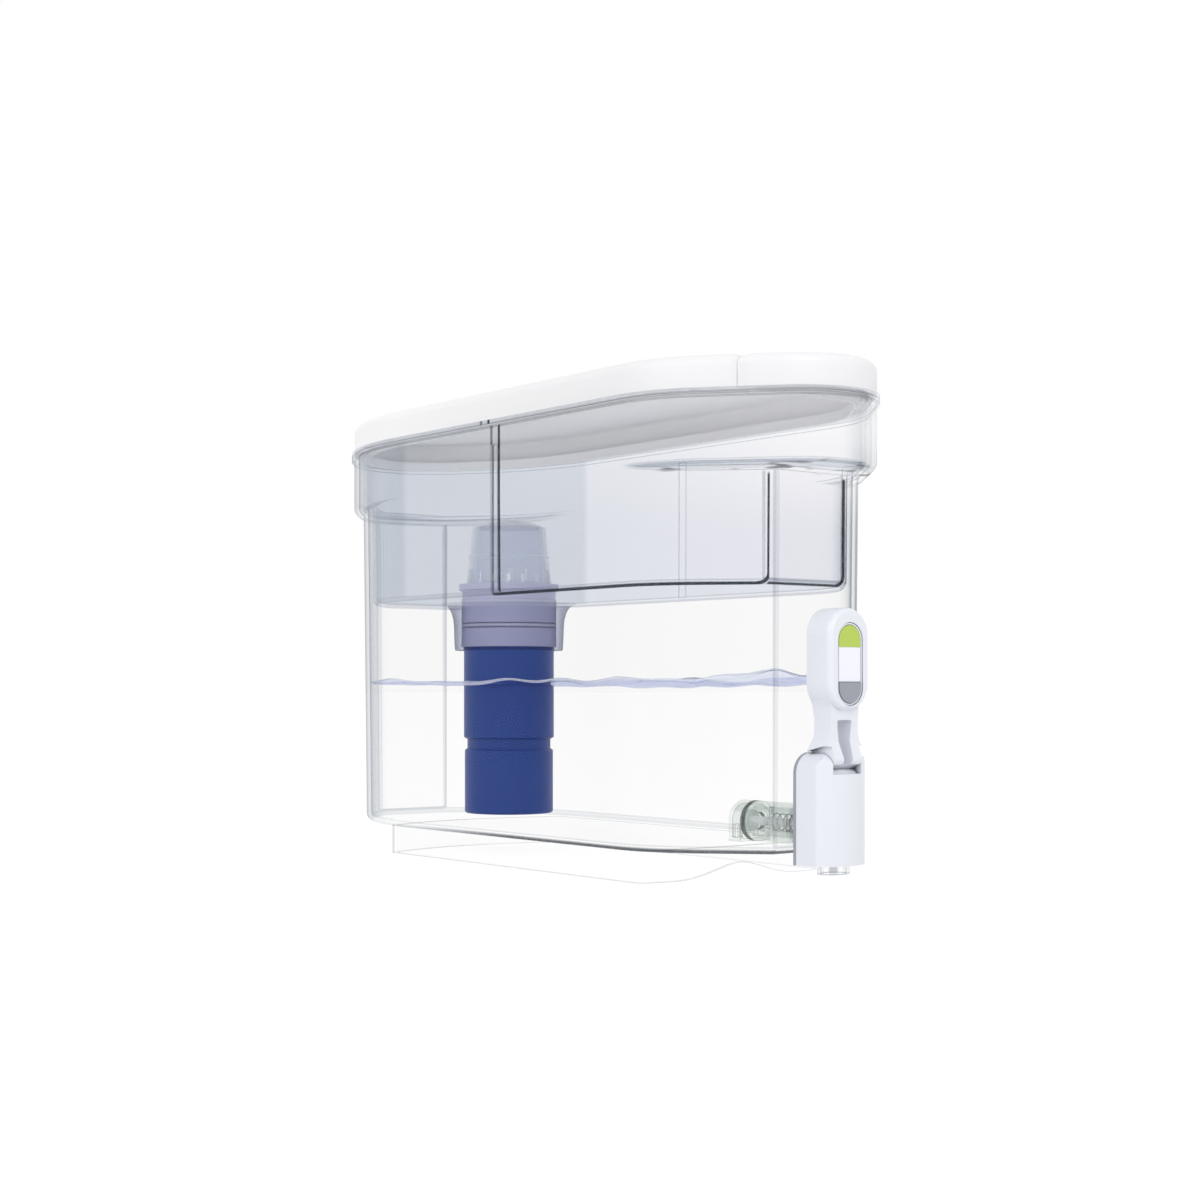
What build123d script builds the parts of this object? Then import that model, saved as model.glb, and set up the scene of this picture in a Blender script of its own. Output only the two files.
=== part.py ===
"""Gravity water filter with a tap: a clear tank, a hanging reservoir that holds the
filter cartridge, a two-piece lid, and a lever tap with a filter-life indicator.

Frame: +X towards the tap, +Z up, origin on the table under the middle of the tank.
All sizes are in millimetres.
"""

from build123d import *
from math import acos, cos, degrees, radians, sin, sqrt, tan
import os

os.makedirs("parts", exist_ok=True)

# ---------------------------------------------------------------- driving dimensions
# Heights above the table
foot_height = 16.0
ledge_height = 198.0            # underside of the grip ledges
rim_height = 232.0              # underside of the tank's rim flange
reservoir_underside = 144.0
flange_thickness = 2.0
lid_height = 16.0

# Tank plan, at the height of the ledges
tank_half_width = 71.3
tank_front = 181.5
tank_rear = -181.0
front_bend_start = 110.0        # where a side starts to bend towards the front
front_bend_radius = 64.0
front_run_angle = 44.0          # degrees that the bend turns before it runs straight
rear_flat_half = 25.0           # half the width of the flat rear wall
rear_bend_start = -85.0
crease_radius = 6.0
tank_draft = 0.6                # degrees, narrower towards the floor
tank_wall = 2.6
tank_bottom_radius = 4.5

# Upper band plan
band_front_tip = 204.5
band_rear_tip = -204.5
band_bend_start = 118.0         # the band follows the sides further forward than the tank
band_front_angle = 39.5         # degrees that its front bend turns before it runs straight
band_rear_sweep = 161.7         # radius of the long rear bend
band_bottom_radius = 6.0
flange_overhang = 1.5

# Foot skirt
foot_half_width = 62.0
foot_front = 122.0
foot_rear = -104.0
foot_front_bulge = 5.0
foot_rear_bulge = 15.0
foot_wall = 2.2
foot_corner_radius = 4.0
arch_half_width = 42.0
arch_height = 7.4

# Reservoir
reservoir_inset = 5.2           # from the tank's outside to the reservoir's outside
reservoir_wall = 2.2
reservoir_front = 173.5         # its front wall below the ledge
reservoir_crease_radius = 2.0
reservoir_draft = 0.4
reservoir_bottom_radius = 3.5
shelf_gap = 0.6                 # above the tank's ledge
groove_x = 4.7
groove_width = 6.0
groove_depth = 0.9
groove_low_margin, groove_high_margin = 2.0, 8.0

# Filter and its well
filter_x = -74.3
filter_bottom = 22.4
filter_radius = 26.2
filter_wall = 1.8
waist_low, waist_high, waist_radius = 59.9, 65.1, 24.2
foot_band_radius = 25.7
well_depth, well_bottom_radius, well_mouth_radius = 27.3, 31.4, 42.0
well_clearance = 0.4
well_lip = 2.0                  # thickness of the lip that the collar stands on
collar_radius = 27.2
collar_rise = 11.0              # the collar's top above the reservoir's underside
seal_flange_radius = 29.0
seal_flange_height = 4.0
cap_base_radius, cap_top_radius = 24.8, 21.3
cap_wall_height, cap_crown_height = 33.0, 4.9
cap_wall = 1.5
cap_ridge_rise = 15.4           # the ridge line above the collar
cap_slot_count = 16
o_ring_rise, o_ring_section = 12.3, 1.6     # above the collar's lower end

# Lid and fill door
lid_wall = 2.2
lid_edge_radius = 5.0
lip_gap, lip_wall, lip_depth = 0.5, 1.6, 3.0
seam_x = 173.0
seam_gap = 0.3
knuckle_radius = 2.2
knuckle_spans = [(16.0, 26.0), (26.3, 36.3)]    # along Y: door's own, then the cover's
hinge_pin_radius = 1.0
running_gap = 0.05

# Tap, measured from the tank's front wall outwards
tap_axis_height = 29.0          # the barrel's axis
tap_plate_x = 182.0
tap_plate_thickness = 2.0
tap_front = 202.5
tap_front_corner_x = 196.5
tap_front_half, tap_rear_half = 16.2, 17.2
tap_bottom, tap_top = 11.0, 64.4
tap_shoulder_radius = 10.0      # seen from the front
tap_brow_radius = 11.0          # seen from the side
tap_wall = 2.0
tap_corner_radius = 2.2         # of the two upright front edges
notch_bottom, notch_half = 54.3, 9.3

# Barrel inside the tank
barrel_radius, barrel_bore = 10.1, 7.5
neck_radius, neck_bore = 7.6, 6.0
barrel_rear, neck_start = 140.0, 169.5
seat_thickness, seat_bore = 3.0, 4.5
hood_length, hood_wall, hood_flat = 12.0, 1.5, 19.0
nut_radius, nut_thickness, gasket_thickness = 10.1, 5.0, 1.5
gasket_radius, gasket_outer_radius = 8.8, 13.0
spider_thickness = 2.0
stem_radius = 2.2
stem_clearance = 0.3
poppet_radius, poppet_thickness = 6.5, 2.2
stem_head_thickness = 1.2
tab_x, tab_thickness, tab_width, tab_top = 187.6, 2.4, 5.0, 43.3
spring_radius, spring_wire, spring_turns = 4.3, 0.8, 6
spring_collar_x, spring_collar_radius = 176.0, 5.4

# Spout
spout_x, spout_half_x, spout_half_y = 191.5, 6.0, 9.0
spout_bottom, spout_wall = 6.6, 1.5

# Lever
pivot_x, pivot_height = 191.4, 50.0
pivot_pin_radius = 1.5
hub_radius, hub_half = 4.8, 8.8
drum_radius, drum_rear = 8.0, 186.0     # the hub's upper half, cut off flat at the rear
drum_gap = 0.4                  # between the drum and the housing
nose_gap = 0.3                  # between the lever's nose and the stem's tab
nose_depth, nose_half, nose_bottom = 4.1, 4.0, 41.0
neck_half = 9.0
flare_half, flare_low, flare_high = 12.0, 66.0, 79.0
pod_half, pod_low, pod_high = 13.0, 84.0, 132.8
pod_rear, pod_front = 186.7, 202.7
pod_wall = 1.7
pod_bevel_depth, pod_bevel_width = 3.5, 2.2
pod_cover = 1.6
pod_shank, pod_head = 0.8, 1.5      # radii of the two small screws
window_low, window_high = 58.0, 79.8
window_half_low, window_half_high = 2.6, 4.8

# Indicator
display_half, display_low, display_high = 7.1, 87.8, 124.5
display_gap = 0.25
bezel_width = 1.1
button_top, lens_bottom = 97.6, 114.1
board_x, board_thickness = 193.6, 1.2
cell_radius, cell_thickness = 8.0, 3.2
cell_offset = 0.6               # the cell's centre above the pod's middle
led_drop, led_half, led_depth = 5.9, 1.6, 1.4           # below the display's top
switch_rise, switch_half, switch_depth = 5.2, 2.2, 1.2  # above the display's foot
button_travel = 0.8

# Worked out from the above
well_bottom = reservoir_underside - well_depth
collar_low = well_bottom + well_lip
collar_high = reservoir_underside + collar_rise
o_ring_height = collar_low + o_ring_rise
cap_ridge = collar_high + cap_ridge_rise
cap_shoulder = collar_high + cap_wall_height
cap_apex = cap_shoulder + cap_crown_height
hood_rear = barrel_rear - hood_length
cell_height = (pod_low + pod_high) / 2 + cell_offset
led_height = display_high - led_drop
switch_height = display_low + switch_rise
beyond = 1.5 * band_front_tip   # further out than any piece, for cuts


# ---------------------------------------------------------------- helpers
def save(name, *solids):
    """Writes one sub-part; several solids become one group."""
    shape = solids[0] if len(solids) == 1 else Compound(children=list(solids))
    export_step(shape, f"parts/{name}.step")


def mirrored(upper, x_front, x_rear, y_front, y_rear):
    """Closes an upper half outline with its mirror image and the two end lines."""
    lower = [edge.mirror(Plane.XZ) for edge in upper]
    ends = []
    if y_front > 0:
        ends.append(Line((x_front, -y_front), (x_front, y_front)))
    if y_rear > 0:
        ends.append(Line((x_rear, -y_rear), (x_rear, y_rear)))
    return make_face(upper + lower + ends)


def run_end(start_x, radius, angle, x, inset):
    """A bend off the side that turns by an angle and then runs straight, moved in.

    Returns the bend's centre Y, its radius, the run's normal and start, and the Y at
    which the run reaches x.
    """
    centre_y = tank_half_width - front_bend_radius
    normal = (sin(radians(angle)), cos(radians(angle)))
    start = (start_x + (radius - inset) * normal[0], centre_y + (radius - inset) * normal[1])
    y = start[1] - (x - start[0]) * normal[0] / normal[1]
    return centre_y, radius - inset, normal, start, y


def basin_plan(inset, crease, front=tank_front):
    """Plan of the tank below its ledges, moved in by inset, its creases rounded."""
    side = tank_half_width - inset
    x_front, x_rear = front - inset, tank_rear + inset
    # Front: a bend, then a straight run to the flat wall.
    front_y, front_r, _, run_start, y_front = run_end(
        front_bend_start, front_bend_radius, front_run_angle, x_front, inset
    )
    # Rear: one arc from the side to the flat wall.
    reach, drop = rear_bend_start - tank_rear, tank_half_width - rear_flat_half
    rear_r = (reach**2 + drop**2) / (2 * drop)
    rear_y = tank_half_width - rear_r
    rear_r -= inset
    rear_a = degrees(acos((reach - inset) / rear_r))
    y_rear = rear_y + rear_r * sin(radians(rear_a))
    upper = [
        Line((x_front, y_front), run_start),
        CenterArc(
            (front_bend_start, front_y), front_r, 90 - front_run_angle, front_run_angle
        ),
        Line((front_bend_start, side), (rear_bend_start, side)),
        CenterArc((rear_bend_start, rear_y), rear_r, 90, 90 - rear_a),
    ]
    plan = mirrored(upper, x_front, x_rear, y_front, y_rear)
    ends = plan.vertices().group_by(Axis.X)
    return fillet(ends[0] + ends[-1], crease)


def band_plan(inset):
    """Plan of the upper band, whose two ends are round noses, moved in by inset."""
    half = tank_half_width
    # Front: a bend, then a straight run, then a nose centred on the axis.
    front_y, front_r, normal, run_start, _ = run_end(
        band_bend_start, front_bend_radius, band_front_angle, 0, 0
    )
    reach = normal[0] * run_start[0] + normal[1] * run_start[1]
    nose_r = (reach - normal[0] * band_front_tip) / (1 - normal[0])
    nose_x = band_front_tip - nose_r
    # Rear: one long bend, then a nose centred on the axis, tangent to it.
    length = rear_bend_start - band_rear_tip
    drop = band_rear_sweep - half
    tail_r = (band_rear_sweep**2 - length**2 - drop**2) / (2 * (band_rear_sweep - length))
    tail_x = band_rear_tip + tail_r
    tail_turn = degrees(acos((rear_bend_start - tail_x) / (band_rear_sweep - tail_r)))

    def shifted(x, y, radius):
        return (x + normal[0] * radius, y + normal[1] * radius)

    arc_end = shifted(band_bend_start, front_y, front_r - inset)
    nose_start = shifted(nose_x, 0, nose_r - inset)
    upper = [
        CenterArc((nose_x, 0), nose_r - inset, 0, 90 - band_front_angle),
        Line(nose_start, arc_end),
        CenterArc(
            (band_bend_start, front_y), front_r - inset, 90 - band_front_angle, band_front_angle
        ),
        Line((band_bend_start, half - inset), (rear_bend_start, half - inset)),
        CenterArc(
            (rear_bend_start, half - band_rear_sweep),
            band_rear_sweep - inset,
            90,
            90 - tail_turn,
        ),
        CenterArc((tail_x, 0), tail_r - inset, 180 - tail_turn, tail_turn),
    ]
    return mirrored(upper, 0, 0, 0, 0)


def slab(plan, low, high, taper=0):
    """A plan raised from low to high, or hung from high with a draft."""
    if taper:
        return extrude(Pos(0, 0, high) * plan, high - low, (0, 0, -1), taper=taper)
    return extrude(Pos(0, 0, low) * plan, high - low)


def rounded(solid, radius, end):
    """Rounds the edges at the lowest (end 0) or highest (end -1) level."""
    return fillet(solid.edges().group_by(Axis.Z)[end], radius)


def along_x(radius, x_low, x_high, y=0.0, z=tap_axis_height):
    """A round bar along X."""
    return Pos((x_low + x_high) / 2, y, z) * Rot(0, 90, 0) * Cylinder(radius, x_high - x_low)


def along_y(radius, y_low, y_high, x=pivot_x, z=pivot_height):
    """A round bar along Y."""
    return Pos(x, (y_low + y_high) / 2, z) * Rot(90, 0, 0) * Cylinder(radius, y_high - y_low)


def block(x_low, x_high, y_low, y_high, z_low, z_high):
    """A box given by its two corners."""
    middle = Pos((x_low + x_high) / 2, (y_low + y_high) / 2, (z_low + z_high) / 2)
    return middle * Box(x_high - x_low, y_high - y_low, z_high - z_low)


def stadium(half_width, z_low, z_high, x_low, x_high):
    """An upright slab with round ends, seen from the front, between two X planes."""
    plane = Plane(origin=(x_low, 0, (z_low + z_high) / 2), x_dir=(0, 0, 1), z_dir=(1, 0, 0))
    return extrude(plane * SlotOverall(z_high - z_low, 2 * half_width), x_high - x_low)


def turned(points, x=0.0, y=0.0):
    """A solid of revolution about an upright axis, from (radius, height) points."""
    profile = Plane.XZ * make_face(Polyline(*points, close=True))
    return Pos(x, y, 0) * revolve(profile, Axis.Z)


def front_wall_x(height):
    """The outside of the tank's front wall at a height."""
    return tank_front - (ledge_height - height) * tan(radians(tank_draft))


# ---------------------------------------------------------------- tank
def tank_outside():
    """Drafted lower tank with the wider band on top."""
    below = rounded(
        slab(basin_plan(0, crease_radius), foot_height, ledge_height, tank_draft),
        tank_bottom_radius,
        0,
    )
    core = slab(basin_plan(0, crease_radius), ledge_height, ledge_height + band_bottom_radius + 2)
    band = rounded(slab(band_plan(0), ledge_height, rim_height), band_bottom_radius, 0)
    return below + core + band


def tank_inside():
    """The space inside the walls, open at the top."""
    crease = crease_radius - tank_wall
    shelf = ledge_height + tank_wall
    top = rim_height + flange_thickness
    radius = tank_bottom_radius - tank_wall
    below = rounded(
        slab(basin_plan(tank_wall, crease), foot_height + tank_wall, ledge_height, tank_draft),
        radius,
        0,
    )
    core = slab(basin_plan(tank_wall, crease), ledge_height, shelf + band_bottom_radius)
    band = rounded(slab(band_plan(tank_wall), shelf, top), band_bottom_radius - tank_wall, 0)
    return below + core + band


def foot_plan(inset):
    """Plan of the foot skirt: straight sides, bowed ends and rounded corners."""
    half = foot_half_width - inset
    front, rear = foot_front - inset, foot_rear + inset
    outline = make_face([
        Line((rear, half), (front, half)),
        ThreePointArc((front, half), (front + foot_front_bulge, 0), (front, -half)),
        Line((front, -half), (rear, -half)),
        ThreePointArc((rear, -half), (rear - foot_rear_bulge, 0), (rear, half)),
    ])
    return fillet(outline.vertices(), foot_corner_radius - inset)


def foot_skirt():
    """A thin ring wall that the floor stands on, with a low arch through its front."""
    ring = slab(foot_plan(0) - foot_plan(foot_wall), 0, foot_height)
    crown = Spline(
        (-arch_half_width, 0), (0, arch_height), (arch_half_width, 0),
        tangents=[(1, 0), (1, 0)],
    )
    arch = make_face([crown, Line((arch_half_width, 0), (-arch_half_width, 0))])
    through = extrude(Plane.YZ.offset(foot_front / 2) * arch, foot_front)
    return ring - through


def tank_shell():
    outside, inside = tank_outside(), tank_inside()
    flange = slab(band_plan(-flange_overhang), rim_height, rim_height + flange_thickness)
    tap_hole = along_x(neck_radius + stem_clearance, tank_front - 20, tank_front + 10)
    return outside + flange - inside - tap_hole


# ---------------------------------------------------------------- reservoir
def reservoir_plan(inset, crease):
    """Plan of the reservoir below its shelves; inset 0 is its own outside."""
    return basin_plan(reservoir_inset + inset, crease, reservoir_front + reservoir_inset)


def reservoir_outside():
    shelf = ledge_height + tank_wall + shelf_gap
    top = rim_height + flange_thickness
    outline = reservoir_plan(0, reservoir_crease_radius)
    below = rounded(
        slab(outline, reservoir_underside, ledge_height, reservoir_draft),
        reservoir_bottom_radius,
        0,
    )
    radius = band_bottom_radius - tank_wall - shelf_gap
    core = slab(outline, ledge_height, shelf + radius + 1)
    band = rounded(slab(band_plan(reservoir_inset), shelf, top), radius, 0)
    flange = slab(band_plan(-flange_overhang), top, top + flange_thickness)
    return below + core + band + flange


def reservoir_inside():
    shelf = ledge_height + tank_wall + shelf_gap + reservoir_wall
    top = rim_height + 2 * flange_thickness
    outline = reservoir_plan(reservoir_wall, reservoir_crease_radius / 2)
    below = rounded(
        slab(outline, reservoir_underside + reservoir_wall, ledge_height, reservoir_draft),
        reservoir_bottom_radius / 2,
        0,
    )
    core = slab(outline, ledge_height, shelf + reservoir_wall)
    band = slab(band_plan(reservoir_inset + reservoir_wall), shelf, top)
    return below + core + band


def well_outside():
    """The flared bell under the reservoir's floor that carries the filter."""
    floor = reservoir_underside + reservoir_wall / 2
    bell = [
        Line((0, floor), (well_mouth_radius, floor)),
        Line((well_mouth_radius, floor), (well_mouth_radius, reservoir_underside)),
        Spline(
            (well_mouth_radius, reservoir_underside), (well_bottom_radius, well_bottom),
            tangents=[(-1, 0), (-0.12, -1)],
        ),
        Line((well_bottom_radius, well_bottom), (0, well_bottom)),
        Line((0, well_bottom), (0, floor)),
    ]
    return Pos(filter_x, 0, 0) * revolve(Plane.XZ * make_face(bell), Axis.Z)


def well_bore():
    """The bore for the filter's collar, with a seat lip at its lower end."""
    bore = collar_radius + well_clearance
    body = filter_radius + stem_clearance
    top = reservoir_underside + reservoir_wall + 1
    seat = well_bottom + well_lip
    return turned(
        [(0, well_bottom - 1), (body, well_bottom - 1), (body, seat), (bore, seat),
         (bore, top), (0, top)],
        filter_x,
    )


def reservoir_basin():
    basin = reservoir_outside() - reservoir_inside() + well_outside() - well_bore()
    low_end = reservoir_underside + groove_low_margin
    high_end = rim_height - groove_high_margin
    for side in (-1, 1):
        face = side * (tank_half_width - reservoir_inset)
        inner = face - side * groove_depth
        low, high = sorted((inner, face + side * groove_depth))
        # The wall leans with its draft, so the groove runs out near the floor's radius.
        basin -= block(groove_x - groove_width / 2, groove_x + groove_width / 2,
                       low, high, low_end, high_end)
    return basin


# ---------------------------------------------------------------- filter
def filter_housing():
    """Blue cup with a waist groove, closed at the bottom by an outlet grid."""
    outer = turned(
        [(0, filter_bottom), (foot_band_radius - 0.8, filter_bottom),
         (foot_band_radius, filter_bottom + 0.8), (foot_band_radius, waist_low - 1.2),
         (waist_radius, waist_low), (waist_radius, waist_high),
         (filter_radius, waist_high + 1.2), (filter_radius, collar_low), (0, collar_low)],
        filter_x,
    )
    inner_radius = waist_radius - filter_wall
    bore = Pos(filter_x, 0, (filter_bottom + filter_wall + collar_low) / 2 + 1) * Cylinder(
        inner_radius, collar_low - filter_bottom - filter_wall + 2
    )
    holes = [
        Pos(filter_x, 0, filter_bottom) * PolarLocations(ring, count)
        for ring, count in ((6.0, 6), (13.0, 12))
    ]
    cup = outer - bore
    for spots in holes:
        for spot in spots:
            cup -= spot * Cylinder(1.6, 3 * filter_wall)
    return cup


def filter_collar():
    """Lilac ring: seats in the well, holds the seal and carries the cap."""
    inner = cap_base_radius - 2 * cap_wall
    groove = o_ring_section
    return turned(
        [(inner, collar_low), (collar_radius, collar_low),
         (collar_radius, o_ring_height - groove), (collar_radius - groove, o_ring_height - groove),
         (collar_radius - groove, o_ring_height + groove), (collar_radius, o_ring_height + groove),
         (collar_radius, collar_high - seal_flange_height),
         (seal_flange_radius, collar_high - seal_flange_height + 0.6),
         (seal_flange_radius, collar_high), (inner, collar_high)],
        filter_x,
    )


def filter_o_ring():
    outer = collar_radius + well_clearance - running_gap
    section = (outer - collar_radius + o_ring_section) / 2
    ring = Plane.XZ * Pos(outer - section, o_ring_height) * RegularPolygon(section, 8, rotation=22.5)
    return Pos(filter_x, 0, 0) * revolve(ring, Axis.Z)


def cap_profile(shift):
    """Half section of the cap: a leaning wall with a ridge line and a domed crown."""
    base, top = cap_base_radius - shift, cap_top_radius - shift
    apex = cap_apex - shift
    lean = (base - top) / (cap_shoulder - collar_high)
    ridge_low, ridge_high = cap_ridge, cap_ridge + 1.0
    wall = [(0, collar_high), (base, collar_high)]
    if shift == 0:
        wall += [
            (base - lean * (ridge_low - collar_high), ridge_low),
            (base - lean * (ridge_low - collar_high) + 0.5, ridge_low + 0.2),
            (base - lean * (ridge_high - collar_high) + 0.5, ridge_high - 0.2),
            (base - lean * (ridge_high - collar_high), ridge_high),
        ]
    wall.append((top, cap_shoulder))
    rise = apex - cap_shoulder
    sphere = (top**2 + rise**2) / (2 * rise)
    start = degrees(acos(top / sphere))
    crown = CenterArc((0, apex - sphere), sphere, start, 90 - start)
    return make_face([Polyline(*wall), crown, Line((0, apex), (0, collar_high))])


def filter_cap():
    """Domed cap, tapered, with a comb of upright inlet slots at its foot."""
    section = Plane.XZ * (cap_profile(0) - cap_profile(cap_wall))
    cap = revolve(section, Axis.Z)
    slot = block(cap_base_radius - 3 * cap_wall, cap_base_radius + 1, -1.2, 1.2,
                 collar_high + 1.5, collar_high + 8.0)
    for turn in range(cap_slot_count):
        cap -= Rot(0, 0, (turn + 0.5) * 360 / cap_slot_count) * slot
    return Pos(filter_x, 0, 0) * cap


def filter_media():
    """Moulded carbon block with a central outlet bore."""
    radius = waist_radius - filter_wall - 0.4
    low, high = filter_bottom + filter_wall, collar_low
    middle = Pos(filter_x, 0, (low + high) / 2)
    return middle * (Cylinder(radius, high - low) - Cylinder(5, high - low + 2))


def inlet_screen():
    """Fine screen disc across the collar, on top of the media."""
    radius = cap_base_radius - 2 * cap_wall
    return Pos(filter_x, 0, collar_low + 0.6) * Cylinder(radius, 1.2)


# ---------------------------------------------------------------- lid and fill door
lid_low = rim_height + 2 * flange_thickness
lid_high = lid_low + lid_height
hinge_height = lid_high - knuckle_radius


def lid_shell():
    outside = rounded(slab(band_plan(0), lid_low, lid_high), lid_edge_radius, -1)
    inside = rounded(
        slab(band_plan(lid_wall), lid_low, lid_high - lid_wall),
        lid_edge_radius - lid_wall,
        -1,
    )
    return outside, inside


def seam_rounding(x, away, radius):
    """What a rounding takes off the top edge at a seam; away points into the piece."""
    middle = x + away * radius
    corner = block(*sorted((x - away, middle)), -beyond, beyond, lid_high - radius, lid_high + 1)
    return corner - along_y(radius, -beyond - 1, beyond + 1, middle, lid_high - radius)


def lid_half(x_low, x_high):
    """One stretch of the lid between two planes, with an end wall at the seam."""
    outside, inside = lid_shell()
    away = 1 if x_low > 0 else -1
    seam = x_low if x_low > 0 else x_high
    reach = block(x_low, x_high, -beyond, beyond, lid_low - lid_height, lid_high + lid_height)
    hollow = inside & (Pos(away * lid_wall, 0, 0) * reach)
    hollow -= seam_rounding(seam + away * lid_wall, away, lid_edge_radius - lid_wall) - block(
        seam - lid_height, seam + lid_height, -beyond, beyond, lid_high - lid_wall,
        lid_high + lid_height
    )
    piece = (outside & reach) - seam_rounding(seam, away, lid_edge_radius)
    return piece - hollow


def knuckles(owner):
    """The two hinge barrels of one side of the hinge: owner 0 is the door."""
    low, high = knuckle_spans[owner]
    return [
        along_y(knuckle_radius, low, high, seam_x, hinge_height),
        along_y(knuckle_radius, -high, -low, seam_x, hinge_height),
    ]


def knuckle_room(owner):
    low, high = knuckle_spans[owner]
    room = knuckle_radius + seam_gap
    return [
        along_y(room, low - seam_gap, high + seam_gap, seam_x, hinge_height),
        along_y(room, -high - seam_gap, -low + seam_gap, seam_x, hinge_height),
    ]


def rear_cover():
    cover = lid_half(-beyond, seam_x - seam_gap)
    shelf_inset = reservoir_inset + reservoir_wall + lip_gap
    lip = slab(band_plan(shelf_inset) - band_plan(shelf_inset + lip_wall),
               lid_low - lip_depth, lid_low + lid_wall)
    shelf = slab(band_plan(lid_wall) - band_plan(shelf_inset + lip_wall),
                 lid_low, lid_low + lid_wall)
    keep = block(-beyond, seam_x - seam_gap - lid_wall, -beyond, beyond, 0, lid_high)
    cover += (lip + shelf) & keep
    for room in knuckle_room(0):
        cover -= room
    for barrel in knuckles(1):
        cover += barrel
    low, high = knuckle_spans[1]
    for side in (-1, 1):
        bore = along_y(hinge_pin_radius, *sorted((side * (low - 1), side * (high - 2))),
                       seam_x, hinge_height)
        cover -= bore
    return cover


def fill_door():
    door = lid_half(seam_x + seam_gap, beyond)
    for room in knuckle_room(1):
        door -= room
    for barrel in knuckles(0):
        door += barrel
    low, high = knuckle_spans[0]
    for side in (-1, 1):
        bore = along_y(hinge_pin_radius + running_gap,
                       *sorted((side * (low + 2), side * (high + 1))), seam_x, hinge_height)
        door -= bore
    return door


def hinge_pins():
    low, high = knuckle_spans[0][0] + 2.4, knuckle_spans[1][1] - 2
    return [
        along_y(hinge_pin_radius, *sorted((side * low, side * high)), seam_x, hinge_height)
        for side in (-1, 1)
    ]


# ---------------------------------------------------------------- tap body
def tap_plan(inset):
    """Plan of the tap housing: flat back, leaning sides and a bowed front."""
    rear_x = tap_plate_x + tap_plate_thickness
    rear, front = tap_rear_half - inset, tap_front_half - inset
    corner_x = tap_front_corner_x - inset
    return make_face([
        Line((rear_x, -rear), (rear_x, rear)),
        Line((rear_x, rear), (corner_x, front)),
        ThreePointArc((corner_x, front), (tap_front - inset, 0), (corner_x, -front)),
        Line((corner_x, -front), (rear_x, -rear)),
    ])


def tap_form(inset, low, high):
    """The housing's form: its plan, cut by a front view with rounded shoulders."""
    body = slab(tap_plan(inset), low, high)
    radius = tap_shoulder_radius - inset
    half = tap_rear_half - inset
    view = Plane.YZ * Pos(0, (low + high) / 2) * Rectangle(2 * half, high - low)
    top = view.vertices().group_by(Axis.Z)[-1]
    return body & extrude(fillet(top, radius), beyond)


def tap_brow(inset):
    """Side view of the housing as a solid: its upper front corner is well rounded."""
    front, top = tap_front - inset, tap_top - inset
    view = Plane.XZ * Pos(front / 2, top / 2) * Rectangle(front, top)
    corner = view.vertices().group_by(Axis.X)[-1].group_by(Axis.Z)[-1]
    return extrude(fillet(corner, tap_brow_radius - inset), beyond, both=True)


def tap_housing():
    outer = tap_form(0, tap_bottom, tap_top)
    edges = outer.edges().filter_by_position(Axis.X, tap_front_corner_x - 0.1,
                                             tap_front_corner_x + 0.1)
    outer = fillet(edges.filter_by(Axis.Z), tap_corner_radius) & tap_brow(0)
    shell = outer - (
        tap_form(tap_wall, tap_bottom + tap_wall, tap_top - tap_wall) & tap_brow(tap_wall)
    )
    notch_view = Plane.YZ * Pos(0, (notch_bottom + tap_top + 20) / 2) * Rectangle(
        2 * notch_half, tap_top + 20 - notch_bottom
    )
    notch = extrude(notch_view, beyond)
    boss_reach = notch_half + tap_wall
    for side in (-1, 1):
        low, high = sorted((side * notch_half, side * (tap_rear_half - tap_wall / 2)))
        shell += along_y(3.6, low, high) & outer
        cheek = block(tap_plate_x + tap_plate_thickness, tap_front,
                      *sorted((side * notch_half, side * boss_reach)), notch_bottom, tap_top)
        shell += cheek & outer
    shell -= notch
    shell -= along_y(drum_radius + drum_gap, -notch_half, notch_half)
    shell -= along_y(pivot_pin_radius, -tap_rear_half + tap_wall / 2,
                     tap_rear_half - tap_wall / 2)
    spout_hole = Pos(spout_x, 0, tap_bottom) * extrude(
        Ellipse(spout_half_x + running_gap, spout_half_y + running_gap), 4 * tap_wall, both=True
    )
    shell -= spout_hole
    for y, z in screw_spots():
        post = along_x(2.6, tap_plate_x + tap_plate_thickness, tap_front_corner_x - 1, y, z)
        shell += post - along_x(1.0, 0, tap_front_corner_x - 4, y, z)
    return shell


def screw_spots():
    """Where the back plate is screwed to the housing, as (Y, Z)."""
    return [(side * 12.9, z) for side in (-1, 1) for z in (17.0, 41.0)]


def tap_back_plate():
    form = tap_form(0, tap_bottom, tap_top)
    rear = form.faces().sort_by(Axis.X)[0]
    plate = extrude(rear, tap_plate_thickness, (-1, 0, 0))
    plate -= along_x(neck_radius + running_gap, 0, beyond)
    for y, z in screw_spots():
        plate -= along_x(1.2, 0, beyond, y, z)
    return plate


def housing_screws():
    """Four short screws with round heads, driven from the back."""
    screws = []
    for y, z in screw_spots():
        shank = along_x(1.0, tap_plate_x, tap_front_corner_x - 4.5, y, z)
        head = along_x(2.2, tap_plate_x - 1.2, tap_plate_x, y, z)
        screws.append(shank + head)
    return screws


def wall_gasket():
    ring = along_x(gasket_outer_radius, tap_plate_x - 4, tap_plate_x)
    ring -= along_x(neck_radius, 0, beyond)
    return ring - slab(basin_plan(0, crease_radius), foot_height, ledge_height, tank_draft)


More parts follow.
